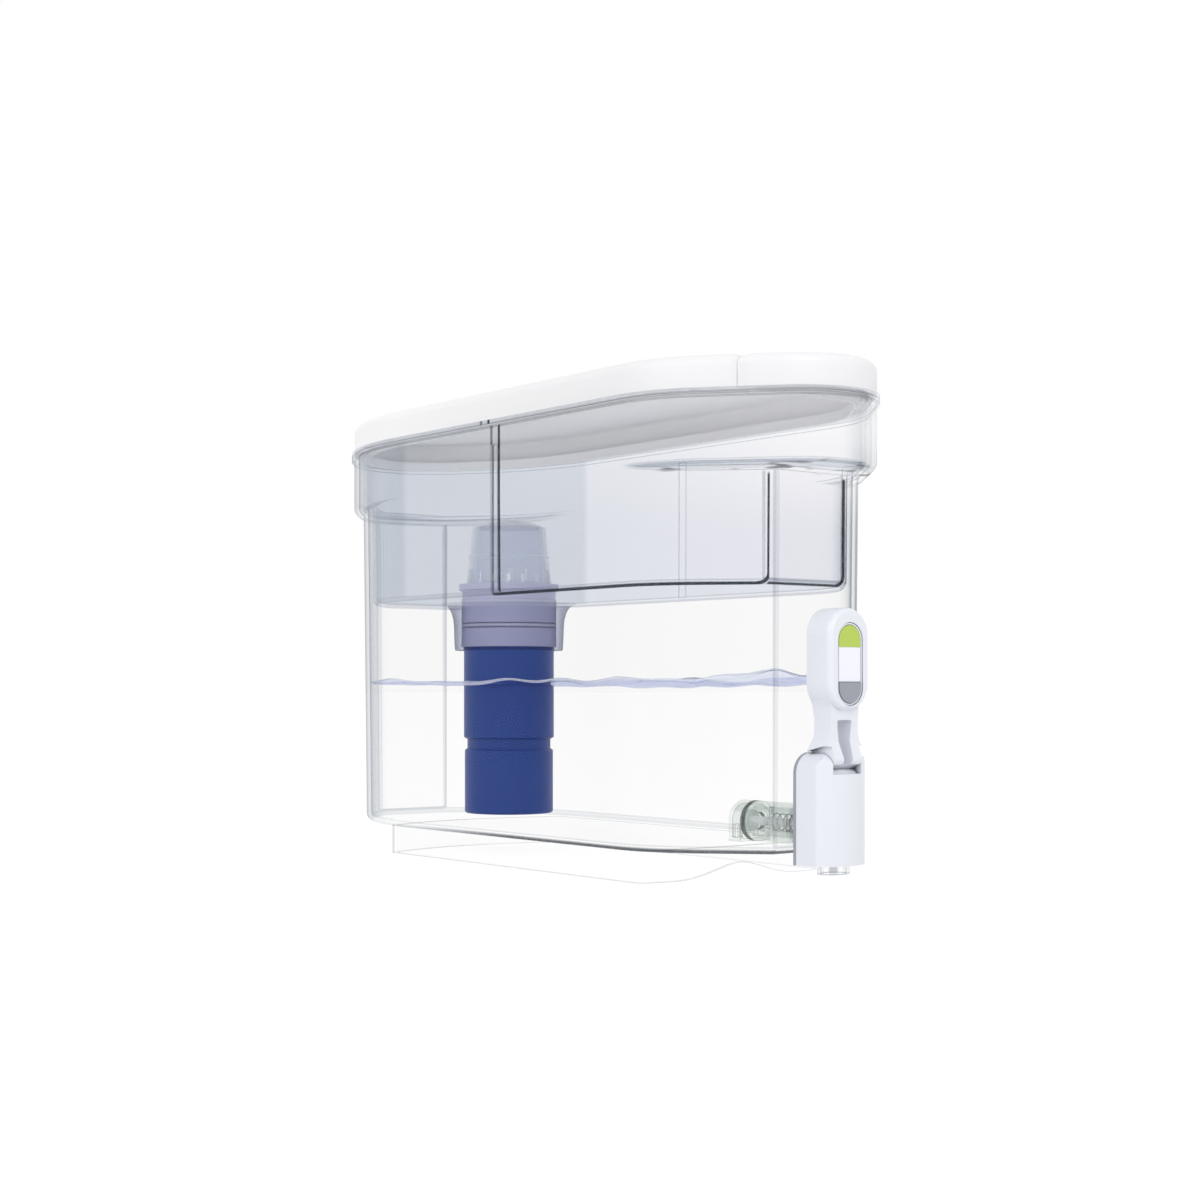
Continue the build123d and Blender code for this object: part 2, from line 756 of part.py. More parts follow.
def inner_gasket():
    """Washer between the nut and the inside of the front wall."""
    wall = front_wall_x(tap_axis_height) - tank_wall
    ring = along_x(gasket_radius, wall - gasket_thickness, wall + 1)
    ring -= along_x(neck_radius, 0, beyond)
    inside = slab(basin_plan(tank_wall, crease_radius - tank_wall),
                  foot_height + tank_wall, ledge_height, tank_draft)
    return ring & inside


def barrel_nut():
    """Clear ring nut with finger notches round its rim."""
    front = front_wall_x(tap_axis_height) - tank_wall - gasket_thickness
    nut = along_x(nut_radius, front - nut_thickness, front)
    for step in range(8):
        turn = radians(45 * step + 22.5)
        notch_y = (nut_radius + 1.2) * cos(turn)
        notch_z = tap_axis_height + (nut_radius + 1.2) * sin(turn)
        nut -= along_x(2.4, front - nut_thickness - 1, front - 1.4, notch_y, notch_z)
    return nut - along_x(neck_radius, 0, beyond)


def inlet_barrel():
    """Clear tube with a stepped neck and a three-spoke spider for the stem."""
    tube = along_x(barrel_radius, barrel_rear, neck_start) - along_x(
        barrel_bore, barrel_rear - 1, neck_start - 2
    )
    neck_end = tap_plate_x + tap_plate_thickness
    tube += along_x(neck_radius, neck_start - 2, neck_end)
    tube -= along_x(neck_bore, neck_start - 3, neck_end + 1)
    spider_x = barrel_rear + 8
    spider = along_x(stem_radius + stem_clearance + 1.4, spider_x, spider_x + spider_thickness)
    for step in range(3):
        arm = block(spider_x, spider_x + spider_thickness, 0, barrel_bore + 1, -0.8, 0.8)
        spider += Pos(0, 0, tap_axis_height) * Rot(120 * step + 90, 0, 0) * arm
    spider -= along_x(stem_radius + stem_clearance, 0, beyond)
    return tube + (spider & along_x(barrel_bore + 0.5, spider_x, spider_x + spider_thickness))


def hood_plan(inset):
    """D-shaped section: round above, straight down to a flat at the bottom."""
    radius = barrel_radius - inset
    low = hood_flat - tap_axis_height + inset
    return make_face([
        CenterArc((0, 0), radius, 0, 180),
        Line((-radius, 0), (-radius, low)),
        Line((-radius, low), (radius, low)),
        Line((radius, low), (radius, 0)),
    ])


def inlet_hood():
    """Rear hood: water enters under its rear wall through three low slots."""
    front = barrel_rear - seat_thickness
    plane = Plane(origin=(hood_rear, 0, tap_axis_height), x_dir=(0, 1, 0), z_dir=(1, 0, 0))
    hood = extrude(plane * hood_plan(0), front - hood_rear)
    inner = Plane(origin=(hood_rear + hood_wall, 0, tap_axis_height), x_dir=(0, 1, 0),
                  z_dir=(1, 0, 0))
    hood = fillet(hood.edges().group_by(Axis.X)[0], 1.0)
    hood -= extrude(inner * hood_plan(hood_wall), front - hood_rear)
    for y in (-5.0, 0.0, 5.0):
        hood -= block(hood_rear - 1, hood_rear + 2 * hood_wall, y - 1.3, y + 1.3,
                      hood_flat + hood_wall, tap_axis_height - 2)
    return hood


def valve_seat_ring():
    return along_x(barrel_radius, barrel_rear - seat_thickness, barrel_rear) - along_x(
        seat_bore, 0, beyond
    )


def return_spring():
    """Coil spring between the spider and the stem's collar."""
    low = barrel_rear + 8 + spider_thickness
    length = spring_collar_x - low - spring_wire
    path = Helix(length / spring_turns, length, spring_radius)
    section = Plane(path @ 0, z_dir=path % 0) * RegularPolygon(spring_wire / 2, 6)
    coil = sweep(section, path=path)
    return Pos(low + spring_wire / 2, 0, tap_axis_height) * Rot(0, 90, 0) * coil


def spout_nozzle():
    """Clear oval outlet with a flange that rests on the housing's floor."""
    def oval(shift, low, high):
        ring = Ellipse(spout_half_x + shift, spout_half_y + shift)
        return extrude(Pos(spout_x, 0, low) * ring, high - low)

    floor = tap_bottom + tap_wall
    tube = oval(0, spout_bottom, floor + 2.5) + oval(1.3, floor, floor + 1.2)
    return tube - oval(-spout_wall, spout_bottom - 1, floor + 4)


def pivot_pin():
    reach = tap_rear_half - tap_wall / 2
    return along_y(pivot_pin_radius, -reach, reach)


# ---------------------------------------------------------------- valve
def valve_stem():
    """Rod along the barrel with a head, a spring collar and an upright tab."""
    seat_rear = barrel_rear - seat_thickness
    head_rear = seat_rear - poppet_thickness - stem_head_thickness
    rod = along_x(stem_radius, head_rear, tab_x + tab_thickness)
    head = along_x(poppet_radius - 1.0, head_rear, head_rear + stem_head_thickness)
    collar = along_x(spring_collar_radius, spring_collar_x, spring_collar_x + 1.5)
    tab = block(tab_x, tab_x + tab_thickness, -tab_width / 2, tab_width / 2,
                tap_axis_height - stem_radius, tab_top)
    return rod + head + collar + tab


def poppet_seal():
    seat_rear = barrel_rear - seat_thickness
    disc = along_x(poppet_radius, seat_rear - poppet_thickness, seat_rear)
    return disc - along_x(stem_radius, 0, beyond)


# ---------------------------------------------------------------- lever
def lever_side_view():
    """Side view of the lever above its hub: flared foot, slim neck and flat pod."""
    bevel = pod_front - pod_bevel_depth
    outline = [
        (pivot_x - 3.0, pivot_height), (186.4, 54.4), (185.6, 58.0), (185.6, 64.0), (187.9, 71.5),
        (187.9, 80.0), (pod_rear, 85.5), (pod_rear, pod_high), (pod_front, pod_high),
        (pod_front, pod_low + pod_bevel_width), (bevel, pod_low), (198.6, 76.0), (198.6, 70.0),
        (201.8, 61.0), (200.6, 59.0), (197.6, 57.9), (196.0, 56.9), (194.0, 54.6),
        (pivot_x, pivot_height),
    ]
    face = make_face(Polyline(*outline, close=True))
    bends = [v for v in face.vertices() if 60.0 < v.Y < 81.0]
    return Plane.XZ * fillet(bends, 2.5)


def lever_front_view():
    """Front view of the lever: a stadium pod, a parallel neck and a flared foot."""
    centre = (pod_low + pod_high) / 2
    pod = Pos(0, centre) * SlotOverall(pod_high - pod_low, 2 * pod_half, rotation=90)
    neck = Pos(0, (pivot_height + centre) / 2) * Rectangle(2 * neck_half, centre - pivot_height)
    view = pod + neck
    throat = [v for v in view.vertices() if pod_low - 1 < v.Y < pod_low + pod_half
              and abs(abs(v.X) - neck_half) < 0.01]
    view = fillet(throat, 7.0)
    for side in (-1, 1):
        outer, inner = side * flare_half, side * (neck_half - 1)
        view += make_face([
            Spline((side * neck_half, flare_high), (outer, flare_low),
                   tangents=[(0, -1), (side * 0.6, -1)]),
            Polyline((outer, flare_low), (outer, notch_bottom), (inner, notch_bottom),
                     (inner, flare_high), (side * neck_half, flare_high)),
        ])
    return Plane.YZ * view


def flare_room():
    """What the flared foot leaves free on both sides for the housing's cheeks."""
    side_view = Plane.XZ * make_face(Polyline(
        (180.0, 64.8), (185.6, 64.8), (195.0, 67.4), (210.0, 67.4), (210.0, pivot_height),
        (180.0, pivot_height), close=True,
    ))
    room = extrude(side_view, beyond, both=True)
    return room - block(0, beyond, -neck_half, neck_half, 0, beyond)


def lever_window():
    """Upright opening through the neck, narrower at its foot."""
    view = Plane.YZ * make_face(Polyline(
        (-window_half_low, window_low), (window_half_low, window_low),
        (window_half_high, window_high), (-window_half_high, window_high), close=True,
    ))
    return extrude(fillet(view.vertices(), 1.0), beyond)


def pod_cavity():
    """Stepped room for the indicator: the circuit board rests on the step."""
    step = board_x + board_thickness
    rear = stadium(pod_half - pod_wall, pod_low + pod_wall, pod_high - pod_wall, pod_rear - 1, step)
    front = stadium(pod_half - pod_wall - 0.9, pod_low + pod_wall + 0.9, pod_high - pod_wall - 0.9,
                    step - 0.5, pod_front - pod_wall)
    return rear + front


def bevelled_face():
    """The pod's front part, whose stadium shrinks towards the front face."""
    rear = pod_front - pod_bevel_depth
    length, width = pod_high - pod_low, 2 * pod_half
    sections = []
    for turn in (0, 30, 60, 90):
        x = rear + pod_bevel_depth * sin(radians(turn))
        less = 2 * pod_bevel_width * (1 - cos(radians(turn)))
        plane = Plane(origin=(x, 0, (pod_low + pod_high) / 2), x_dir=(0, 0, 1), z_dir=(1, 0, 0))
        sections.append(plane * SlotOverall(length - less, width - less))
    return loft(sections)


def lever_shell():
    side = extrude(lever_side_view(), 60, both=True)
    front = extrude(lever_front_view(), beyond)
    bevel_x = pod_front - pod_bevel_depth
    bevel = block(bevel_x, pod_front + 1, -20, 20, pod_low, pod_high + 1) - bevelled_face()
    upper = (side & front) - bevel - flare_room()
    hub = along_y(hub_radius, -hub_half, hub_half)
    drum = along_y(drum_radius, -hub_half, hub_half) & block(
        drum_rear, beyond, -hub_half, hub_half, pivot_height, tap_top
    )
    nose_rear = tab_x + tab_thickness + nose_gap
    nose = block(nose_rear, nose_rear + nose_depth, -nose_half, nose_half,
                 nose_bottom, pivot_height)
    lever = upper + hub + drum + nose
    lever -= lever_window()
    lever -= pod_cavity()
    opening = display_half + bezel_width + display_gap
    lever -= stadium(opening, display_low - bezel_width - display_gap,
                     display_high + bezel_width + display_gap, pod_front - 4, pod_front + 4)
    lever -= along_y(pivot_pin_radius + running_gap, -20, 20)
    rear, tip = pod_rear + pod_cover, board_x + 2.9
    for z in pod_screw_heights():
        lever += along_x(2.6, rear, tip, 0, z) - along_x(pod_shank, 0, tip - 1.2, 0, z)
    return lever


def pod_screw_heights():
    return (pod_low + pod_wall + 2.2, pod_high - pod_wall - 2.2)


def lever_back_cover():
    """Flush cover that closes the pod from behind."""
    gap = pod_wall + 0.1
    cover = stadium(pod_half - gap, pod_low + gap, pod_high - gap, pod_rear, pod_rear + pod_cover)
    for z in pod_screw_heights():
        cover -= along_x(pod_shank + 0.1, 0, beyond, 0, z)
        cover -= along_x(pod_head + 0.1, pod_rear - 1, pod_rear + 0.9, 0, z)
    return cover


def pod_screws():
    screws = []
    for z in pod_screw_heights():
        screws.append(
            along_x(pod_head, pod_rear + 0.1, pod_rear + 0.9, 0, z)
            + along_x(pod_shank, pod_rear + 0.9, pod_rear + 8.0, 0, z)
        )
    return screws


def indicator_bezel():
    """Ring round the display, with a rear flange and a ledge under lens and window."""
    outer = display_half + bezel_width
    inner = display_half + display_gap
    low, high = display_low, display_high
    ring = stadium(outer, low - bezel_width, high + bezel_width, 199.8, pod_front - 0.5)
    flange = stadium(outer + 1.1, low - bezel_width - 1.1, high + bezel_width + 1.1,
                     199.8, pod_front - pod_wall)
    room = pod_wall + 1.2
    flange &= stadium(pod_half - room, pod_low + room, pod_high - room, 199.0, 202.0)
    bezel = ring + flange - stadium(inner, low - display_gap, high + display_gap, 199.0, 210)
    ledge = stadium(inner + 0.2, low - display_gap, high + display_gap, 199.8, 200.6)
    ledge -= stadium(display_half - 1.2, low + 1.2, high - 1.2, 199.0, 210)
    above_button = block(190, 210, -20, 20, button_top + 0.4, 200)
    return bezel + (ledge & above_button)


def display_piece(z_low, z_high, x_low, x_high):
    """A stretch of the display's stadium between two heights."""
    whole = stadium(display_half, display_low, display_high, x_low, x_high)
    return whole & block(x_low - 1, x_high + 1, -20, 20, z_low, z_high)


def status_lens():
    return display_piece(lens_bottom, display_high, 200.6, pod_front - 0.35)


def status_window():
    return display_piece(button_top + 0.25, lens_bottom - 0.05, 200.6, pod_front - 0.45)


def circuit_board():
    room = pod_half - pod_wall - 0.3
    board = stadium(room, pod_low + pod_wall + 0.3, pod_high - pod_wall - 0.3,
                    board_x, board_x + board_thickness)
    for z in pod_screw_heights():
        board -= along_x(3.0, 0, beyond, 0, z)
    return board


def indicator_led():
    front = board_x + board_thickness
    return block(front, front + led_depth, -led_half, led_half,
                 led_height - led_half, led_height + led_half)


def button_switch():
    front = board_x + board_thickness
    base = block(front, front + switch_depth, -switch_half, switch_half,
                 switch_height - switch_half, switch_height + switch_half)
    return base + along_x(1.2, front + switch_depth, front + switch_depth + 0.5, 0, switch_height)


def coin_cell():
    return along_x(cell_radius, board_x - cell_thickness - 0.4, board_x - 0.4, 0, cell_height)


def battery_clip():
    """Bent steel strip that holds the cell against the board."""
    rear = board_x - cell_thickness - 0.4
    arm = cell_radius + 1.4
    strip = block(rear - 0.4, rear, -3.0, 3.0, cell_height - arm, cell_height + arm)
    for z in (cell_height - arm, cell_height + arm - 0.4):
        strip += block(rear - 0.4, board_x, -3.0, 3.0, z, z + 0.4)
    contact = block(board_x - 0.4, board_x, -3.0, 3.0, cell_height - 5.0, cell_height + 5.0)
    return [strip, contact]


def reset_button():
    """Grey half-round key with a rear flange and a stem to the switch."""
    key = display_piece(display_low, button_top, 199.2, pod_front + 0.1)
    flange = stadium(display_half + 0.9, display_low - 0.9, display_high, 198.6, 199.5)
    flange &= block(190, 210, -20, 20, 0, button_top)
    switch_front = board_x + board_thickness + switch_depth + 0.5
    stem = along_x(1.6, switch_front + button_travel + 0.3, 199.0, 0, switch_height)
    return key + flange + stem


# ---------------------------------------------------------------- build
parts = {
    "tank_shell": tank_shell,
    "foot_skirt": foot_skirt,
    "reservoir_basin": reservoir_basin,
    "filter_housing": filter_housing,
    "filter_collar": filter_collar,
    "filter_cap": filter_cap,
    "filter_o_ring": filter_o_ring,
    "filter_media": filter_media,
    "inlet_screen": inlet_screen,
    "rear_cover": rear_cover,
    "fill_door": fill_door,
    "hinge_pins": hinge_pins,
    "tap_housing": tap_housing,
    "tap_back_plate": tap_back_plate,
    "housing_screws": housing_screws,
    "wall_gasket": wall_gasket,
    "inner_gasket": inner_gasket,
    "barrel_nut": barrel_nut,
    "inlet_barrel": inlet_barrel,
    "inlet_hood": inlet_hood,
    "valve_seat_ring": valve_seat_ring,
    "return_spring": return_spring,
    "spout_nozzle": spout_nozzle,
    "pivot_pin": pivot_pin,
    "valve_stem": valve_stem,
    "poppet_seal": poppet_seal,
    "lever_shell": lever_shell,
    "lever_back_cover": lever_back_cover,
    "pod_screws": pod_screws,
    "indicator_bezel": indicator_bezel,
    "status_lens": status_lens,
    "status_window": status_window,
    "circuit_board": circuit_board,
    "indicator_led": indicator_led,
    "button_switch": button_switch,
    "coin_cell": coin_cell,
    "battery_clip": battery_clip,
    "reset_button": reset_button,
}

for name, make in parts.items():
    made = make()
    save(name, *(made if isinstance(made, list) else [made]))
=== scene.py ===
"""Looks for the gravity water filter: a clear tank, a smoke-tinted reservoir, a blue
filter cartridge, a white lid and a lever tap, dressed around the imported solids.
"""

import math

import bpy
import numpy as np
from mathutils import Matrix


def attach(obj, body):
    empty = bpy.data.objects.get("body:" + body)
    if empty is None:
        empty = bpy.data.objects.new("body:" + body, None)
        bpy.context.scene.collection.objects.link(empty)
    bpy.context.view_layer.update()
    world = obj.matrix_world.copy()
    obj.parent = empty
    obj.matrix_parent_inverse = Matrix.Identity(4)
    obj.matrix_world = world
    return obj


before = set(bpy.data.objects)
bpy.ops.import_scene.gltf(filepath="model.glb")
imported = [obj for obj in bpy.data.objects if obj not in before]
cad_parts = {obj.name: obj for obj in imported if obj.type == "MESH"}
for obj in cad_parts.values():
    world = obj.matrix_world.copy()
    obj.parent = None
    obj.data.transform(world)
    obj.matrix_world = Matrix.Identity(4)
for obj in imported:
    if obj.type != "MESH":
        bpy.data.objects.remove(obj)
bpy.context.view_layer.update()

MM = 0.001

# Places on the object, in metres, as the solids have them
ledge_height = 198.0 * MM
rear_bend_start = -85.0 * MM
tank_rear, tank_front = -181.0 * MM, 181.5 * MM
tank_half_width = 71.3 * MM
front_bend_start, front_bend_radius = 110.0 * MM, 64.0 * MM
front_run_angle = 44.0          # degrees
rear_flat_half = 25.0 * MM
tank_wall = 2.6 * MM
tank_draft = 0.6                # degrees
foot_rear, foot_near_y = -100.0 * MM, -55.0 * MM
# Strength of the painted shade line at the foot's rear corner
foot_corner_shade = 0.25
filter_x, filter_radius = -74.3 * MM, 26.2 * MM
well_top = 142.5 * MM
water_level = 97.4 * MM
reservoir_underside = 144.0 * MM
near_line_y, far_line_y = -24.3 * MM, 25.5 * MM     # painted shade lines up the reservoir's front wall
# Edges of the near locating groove, where painted shade bars lie
groove_rear_edge = (1.6 * MM, 3.8 * MM)
groove_front_edge = (8.6 * MM, 10.6 * MM)

smooth = {"interpolation_type": "SMOOTHSTEP"}
# Colour of painted shade lines, standing in for light bent by the clear plastic
painted_shade_line = "#4A4F55"


# ---------------------------------------------------------------- materials
def linear(hex_colour, alpha=1.0):
    """Turns an sRGB hex colour into the linear numbers a shader takes."""
    values = [int(hex_colour[i : i + 2], 16) / 255 for i in (1, 3, 5)]
    return tuple(
        v / 12.92 if v <= 0.04045 else ((v + 0.055) / 1.055) ** 2.4 for v in values
    ) + (alpha,)


def node(tree, kind, inputs=(), stops=(), **settings):
    """Adds a node with its settings, sets or links its inputs, and gives its outputs.

    Inputs are a dict by name, or a list in the node's own order. stops are the (place,
    hex colour) pairs of a colour ramp. A map range with smooth rises from 0 at its second
    input to 1 at its third, and falls where the second is above the third.
    """
    made = tree.nodes.new("ShaderNode" + kind)
    for name, value in settings.items():
        setattr(made, name, value)
    given = inputs.items() if isinstance(inputs, dict) else enumerate(inputs)
    for name, value in given:
        if isinstance(value, bpy.types.NodeSocket):
            tree.links.new(value, made.inputs[name])
        else:
            made.inputs[name].default_value = value
    if stops:
        elements = made.color_ramp.elements
        while len(elements) < len(stops):
            elements.new(0.5)
        for element, (place, colour) in zip(elements, stops):
            element.position = place
            element.color = linear(colour)
    return made.outputs


def finish_of(name, build):
    """Makes a material whose surface shader is what build returns for its tree."""
    material = bpy.data.materials.new(name)
    material.use_nodes = True
    tree = material.node_tree
    tree.nodes.clear()
    node(tree, "OutputMaterial", {"Surface": build(tree)})
    return material


def all_of(tree, *shares):
    """Share of a surface where all the given shares hold: their product."""
    held = shares[-1]
    for share in reversed(shares[:-1]):
        held = node(tree, "Math", [share, held], operation="MULTIPLY")[0]
    return held


def foot_shade_line(tree, place, normal, first):
    """Share of painted shade on the foot: a dark line that stands in for light bent at the
    upright corner at the rear of the near side.
    """
    rear = node(
        tree, "MapRange", [place["X"], foot_rear, foot_rear - 0.5 * MM], **smooth
    )[0]
    side = node(tree, "MapRange", [normal["Y"], -0.2, -0.4], **smooth)[0]
    near = node(
        tree, "MapRange", [place["Y"], foot_near_y, foot_near_y - 2 * MM], **smooth
    )[0]
    return all_of(tree, foot_corner_shade, rear, first, side, near)


def ledge_shade_streaks(tree, place, normal, first):
    """Share of painted shade on the tank: dark streaks in the bent front of its ledge,
    standing in for light bent by the clear plastic.

    They are noise that is stretched to about 18 mm along and 2 mm high.
    """
    per_metre, ledge_front = (55.0, 55.0, 520.0), (135 * MM, 145 * MM)
    spot = node(tree, "CombineXYZ", dict(place))[0]
    stretched = node(tree, "VectorMath", [spot, per_metre], operation="MULTIPLY")
    noise = node(
        tree, "TexNoise", {"Vector": stretched["Vector"], "Scale": 1.0, "Detail": 1.0}
    )["Fac"]
    streak = node(tree, "MapRange", [noise, 0.54, 0.68], **smooth)[0]
    below = node(
        tree,
        "MapRange",
        [place["Z"], ledge_height + 5 * MM, ledge_height + 3 * MM],
        **smooth,
    )[0]
    above = node(
        tree, "MapRange", [place["Z"], ledge_height - 2 * MM, ledge_height], **smooth
    )[0]
    ahead = node(tree, "MapRange", [place["X"], *ledge_front], **smooth)[0]
    return all_of(tree, 0.7, streak, ahead, first, below, above)


def basin_shade_lines(tree, place, normal, first):
    """Share of painted shade on the reservoir's outward faces: dark lines that stand in for
    light bent by the clear plastic.

    The lines are the two edges of the near locating groove, the edge of the underside in
    front of it, and an upright line at each end of the front wall. With a the distance
    from an upright line and b the height over the underside, a line that turns the corner
    with radius r is where r - hypot(max(r - a, 0), max(r - b, 0)) is less than its width.
    """
    corner, width = 6.0 * MM, 1.7 * MM
    turned_near = node(tree, "MapRange", [normal["Y"], -0.1, -0.2], **smooth)[0]
    near_half = node(tree, "MapRange", [place["Y"], 0.0, -5.0 * MM], **smooth)[0]
    near_side = all_of(tree, turned_near, near_half)
    front_wall = node(tree, "MapRange", [normal["X"], 0.4, 0.5], **smooth)[0]
    outward = node(tree, "Math", [near_side, front_wall], operation="MAXIMUM")[0]
    outward = all_of(tree, outward, first)

    past_near = node(tree, "Math", [place["Y"], near_line_y], operation="GREATER_THAN")[0]
    to_near = node(tree, "Math", [near_line_y, place["Y"]], operation="SUBTRACT")[0]
    to_far = node(tree, "Math", [far_line_y, place["Y"]], operation="SUBTRACT")[0]
    before_near = node(tree, "Math", [1.0, past_near], operation="SUBTRACT")[0]
    across = node(
        tree,
        "Math",
        [all_of(tree, past_near, to_far), all_of(tree, before_near, to_near)],
        operation="ADD",
    )[0]
    above = node(tree, "Math", [place["Z"], reservoir_underside], operation="SUBTRACT")[0]
    short = []
    for distance in (across, above):
        left = node(tree, "Math", [corner, distance], operation="SUBTRACT")[0]
        short.append(node(tree, "Math", [left, 0.0], operation="MAXIMUM")[0])
    squared = node(tree, "Math", [short[1], 2.0], operation="POWER")[0]
    squared = node(tree, "Math", [short[0], short[0], squared], operation="MULTIPLY_ADD")[0]
    reach = node(tree, "Math", [squared], operation="SQRT")[0]
    inward = node(tree, "Math", [corner, reach], operation="SUBTRACT")[0]
    lines = all_of(
        tree,
        node(tree, "MapRange", [inward, width, 0.7 * width], **smooth)[0],
        node(tree, "MapRange", [inward, -0.8 * MM, -0.3 * MM], **smooth)[0],
        node(tree, "MapRange", [place["X"], 1.0 * MM, 2.0 * MM], **smooth)[0],
        node(
            tree, "MapRange", [place["Z"], ledge_height, ledge_height - 2 * MM], **smooth
        )[0],
    )

    side = node(tree, "MapRange", [normal["Y"], -0.8, -0.9], **smooth)[0]
    upright = node(
        tree,
        "MapRange",
        [place["Z"], reservoir_underside, reservoir_underside + 1 * MM],
        **smooth,
    )[0]
    fade = 0.3 * MM
    for (low, high), depth in ((groove_rear_edge, 0.7), (groove_front_edge, 1.0)):
        bar = all_of(
            tree,
            depth,
            node(tree, "MapRange", [place["X"], low - fade, low + fade], **smooth)[0],
            node(tree, "MapRange", [place["X"], high + fade, high - fade], **smooth)[0],
            side,
            upright,
        )
        lines = node(tree, "Math", [lines, bar], operation="MAXIMUM")[0]
    return all_of(tree, lines, outward)


def clear_moulding(
    name, tints, line, turned, crease, dark_below, gloss=0.05, least=0.003, tail=None,
    nose=None, drawn=None, hanging=None,
):
    """Clear injection-moulded styrene with a thin polished gloss.

    tints are stops from face on to edge on. Each of line, turned and crease is a pair of
    colours, light and dark, of painted shade that stands in for light bent by the clear
    plastic: line is for sharp edges, turned for the roundings between a wall and a floor,
    and crease for the upright roundings beside the flat end walls. line is dark on the near
    side, crease towards the front, and turned where both hold, on the outer face and up to
    the height dark_below. tail, after the places where it starts and is full, and nose tint
    the rear bend and the front end. hanging, after a height, tints what hangs below that
    height. drawn gives the share of painted shade line at a place. least is the gloss face
    on. Light on its way to other pieces is not tinted.
    """
    edge_width, edge_gloss, untinted = 1.1 * MM, 0.30, "#FEFEFE"
    rear_to_front, far_to_near = (-90 * MM, 30 * MM), (30 * MM, -10 * MM)
    nose_reach, beside_end_wall = (-60 * MM, 160 * MM), (150 * MM, 156 * MM)
    raised_reach, raised_white = 30 * MM, 0.8

    def between(tree, share, light, dark):
        """A colour between a light and a dark one."""
        sockets = {"Factor": share, "A": linear(light), "B": linear(dark)}
        return node(tree, "Mix", sockets, data_type="RGBA")["Result"]

    def build(tree):
        facing = node(tree, "LayerWeight", {"Blend": 0.5})["Facing"]
        tint = node(tree, "ValToRGB", {"Fac": facing}, stops=tints)["Color"]
        geometry = node(tree, "NewGeometry")
        normal = node(tree, "SeparateXYZ", {"Vector": geometry["Normal"]})
        coords = node(tree, "TexCoord")["Object"]
        place = node(tree, "SeparateXYZ", {"Vector": coords})
        along = node(tree, "MapRange", [place["X"], *rear_to_front], **smooth)[0]
        near = node(tree, "MapRange", [place["Y"], *far_to_near], **smooth)[0]
        first = node(tree, "Math", [1.0, geometry["Backfacing"]], operation="SUBTRACT")[0]
        level = node(tree, "Math", [normal["Z"]], operation="ABSOLUTE")[0]
        across = node(tree, "Math", [normal["X"]], operation="ABSOLUTE")[0]
        layers = []
        if nose:
            front = node(tree, "MapRange", [place["X"], *nose_reach], **smooth)[0]
            raised = node(
                tree,
                "MapRange",
                [place["Z"], ledge_height - raised_reach, ledge_height + raised_reach],
                **smooth,
            )[0]
            nose_tint = node(tree, "ValToRGB", {"Fac": facing}, stops=nose)["Color"]
            layers.append((front, nose_tint))
            layers.append((all_of(tree, raised_white, front, raised), linear("#FFFFFF")))
        if tail:
            rear = node(tree, "MapRange", [place["X"], *tail[:2]], **smooth)[0]
            tail_tint = node(tree, "ValToRGB", {"Fac": facing}, stops=tail[2:])["Color"]
            layers.append((rear, tail_tint))

        # Level faces, such as the floor and the ledges, stay as clear as the walls.
        flat = node(tree, "MapRange", [level, 0.93, 0.995], **smooth)[0]
        layers.append((flat, linear(tints[0][1])))

        # Painted shade on the roundings between walls and floors: darkest low down at the
        # front of the near side, on front faces
        bent = all_of(
            tree,
            node(tree, "MapRange", [level, 0.35, 0.70], **smooth)[0],
            node(tree, "MapRange", [level, 0.99, 0.94], **smooth)[0],
        )
        low = node(
            tree, "MapRange", [place["Z"], dark_below + 1 * MM, dark_below], **smooth
        )[0]
        dark = all_of(tree, along, near, low, first)
        layers.append((bent, between(tree, dark, *turned)))

        # Painted shade on the upright roundings beside the flat end walls, below the
        # ledges, going from the first colour at the rear to the second at the front
        end = node(tree, "Math", [place["X"]], operation="ABSOLUTE")[0]
        upright = all_of(
            tree,
            node(tree, "MapRange", [across, 0.78, 0.84], **smooth)[0],
            node(tree, "MapRange", [across, 0.995, 0.98], **smooth)[0],
            node(
                tree,
                "MapRange",
                [place["Z"], ledge_height + 1 * MM, ledge_height - 1 * MM],
                **smooth,
            )[0],
            node(tree, "MapRange", [end, *beside_end_wall], **smooth)[0],
        )
        layers.append((upright, between(tree, along, *crease)))
        if hanging:
            under = node(
                tree, "MapRange", [place["Z"], hanging[0], hanging[0] - 1 * MM], **smooth
            )[0]
            under_tint = node(tree, "ValToRGB", {"Fac": facing}, stops=hanging[1:])["Color"]
            layers.append((under, under_tint))

        # Painted shade on sharp edges, going to the darker colour on the near side
        bevel = node(tree, "Bevel", {"Radius": edge_width}, samples=6)["Normal"]
        same = node(
            tree, "VectorMath", [bevel, geometry["Normal"]], operation="DOT_PRODUCT"
        )["Value"]
        sharp = node(tree, "MapRange", [same, 0.98, 0.86], **smooth)[0]
        layers.append((sharp, between(tree, near, *line)))
        # Painted shade lines where drawn gives their share
        if drawn:
            layers.append((drawn(tree, place, normal, first), linear(painted_shade_line)))
        for share, colour in layers:
            sockets = {"Factor": share, "A": tint, "B": colour}
            tint = node(tree, "Mix", sockets, data_type="RGBA")["Result"]

